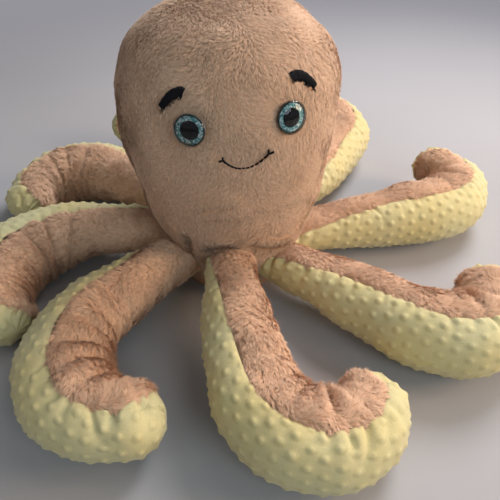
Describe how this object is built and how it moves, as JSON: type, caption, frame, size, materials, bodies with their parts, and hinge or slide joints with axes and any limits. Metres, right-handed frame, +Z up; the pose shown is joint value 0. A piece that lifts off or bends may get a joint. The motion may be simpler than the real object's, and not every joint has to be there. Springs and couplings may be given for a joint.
{
  "type": "plush octopus",
  "caption": "Large plush octopus with a furry egg-shaped head, glitter eyes and curled stuffed tentacles, furry above and dotted below.",
  "frame": {"origin": "on the floor, at the middle of the head's base panel", "axes": "+Z up, -Y towards the face, +X to the viewer's right"},
  "size_m": [0.6582, 0.6554, 0.303],
  "materials": {
    "fur": "short pinkish-tan plush fur, matte",
    "dot_plush": "pale yellow plush with raised round dots, soft sheen",
    "base_cloth": "short pinkish-tan plush, matte",
    "stuffing": "white polyester fibre filling",
    "clear_lens": "clear polished plastic dome",
    "glitter_iris": "aqua glitter disc",
    "pupil_black": "black glossy plastic",
    "washer_plastic": "white lock washer",
    "black_felt": "black satin-stitched cloth",
    "black_thread": "black embroidery thread"
  },
  "bodies": {
    "head": {"head_cover_front": "fur", "head_cover_back": "fur", "head_stuffing": "stuffing", "base_panel": "base_cloth", "eye_right_lens": "clear_lens", "eye_right_iris": "glitter_iris", "eye_right_pupil": "pupil_black", "eye_right_washer": "washer_plastic", "eye_left_lens": "clear_lens", "eye_left_iris": "glitter_iris", "eye_left_pupil": "pupil_black", "eye_left_washer": "washer_plastic", "brow_right": "black_felt", "brow_left": "black_felt", "mouth_stitch": "black_thread"},
    "tentacle_1": {"tentacle_1_fur_panel": "fur", "tentacle_1_dot_panel": "dot_plush", "tentacle_1_stuffing": "stuffing"},
    "tentacle_2": {"tentacle_2_fur_panel": "fur", "tentacle_2_dot_panel": "dot_plush", "tentacle_2_stuffing": "stuffing"},
    "tentacle_3": {"tentacle_3_fur_panel": "fur", "tentacle_3_dot_panel": "dot_plush", "tentacle_3_stuffing": "stuffing"},
    "tentacle_4": {"tentacle_4_fur_panel": "fur", "tentacle_4_dot_panel": "dot_plush", "tentacle_4_stuffing": "stuffing"},
    "tentacle_5": {"tentacle_5_fur_panel": "fur", "tentacle_5_dot_panel": "dot_plush", "tentacle_5_stuffing": "stuffing"},
    "tentacle_6": {"tentacle_6_fur_panel": "fur", "tentacle_6_dot_panel": "dot_plush", "tentacle_6_stuffing": "stuffing"},
    "tentacle_7": {"tentacle_7_fur_panel": "fur", "tentacle_7_dot_panel": "dot_plush", "tentacle_7_stuffing": "stuffing"},
    "tentacle_8": {"tentacle_8_fur_panel": "fur", "tentacle_8_dot_panel": "dot_plush", "tentacle_8_stuffing": "stuffing"}
  },
  "joints": [
    {"name": "tentacle_1_lift", "type": "hinge", "parent": "head", "child": "tentacle_1", "pos_m": [0.0844, 0.00147, 0.06036], "axis": [0.0175, -0.9998, 0], "range_deg": [0, 45]},
    {"name": "tentacle_2_lift", "type": "hinge", "parent": "head", "child": "tentacle_2", "pos_m": [0.05827, 0.06034, 0.0586], "axis": [0.7193, -0.6947, 0], "range_deg": [0, 45]},
    {"name": "tentacle_3_lift", "type": "hinge", "parent": "head", "child": "tentacle_3", "pos_m": [-0.00154, 0.08822, 0.07312], "axis": [0.9998, 0.0175, 0], "range_deg": [0, 45]},
    {"name": "tentacle_4_lift", "type": "hinge", "parent": "head", "child": "tentacle_4", "pos_m": [-0.06233, 0.06019, 0.06784], "axis": [0.6947, 0.7193, 0], "range_deg": [0, 45]},
    {"name": "tentacle_5_lift", "type": "hinge", "parent": "head", "child": "tentacle_5", "pos_m": [-0.08743, -0.00153, 0.07048], "axis": [-0.0175, 0.9998, 0], "range_deg": [0, 45]},
    {"name": "tentacle_6_lift", "type": "hinge", "parent": "head", "child": "tentacle_6", "pos_m": [-0.06166, -0.06385, 0.07488], "axis": [-0.7193, 0.6947, 0], "range_deg": [0, 45]},
    {"name": "tentacle_7_lift", "type": "hinge", "parent": "head", "child": "tentacle_7", "pos_m": [0.00163, -0.09311, 0.0894], "axis": [-0.9998, -0.0175, 0], "range_deg": [0, 45]},
    {"name": "tentacle_8_lift", "type": "hinge", "parent": "head", "child": "tentacle_8", "pos_m": [0.06176, -0.05964, 0.0652], "axis": [-0.6947, -0.7193, 0], "range_deg": [0, 45]}
  ]
}
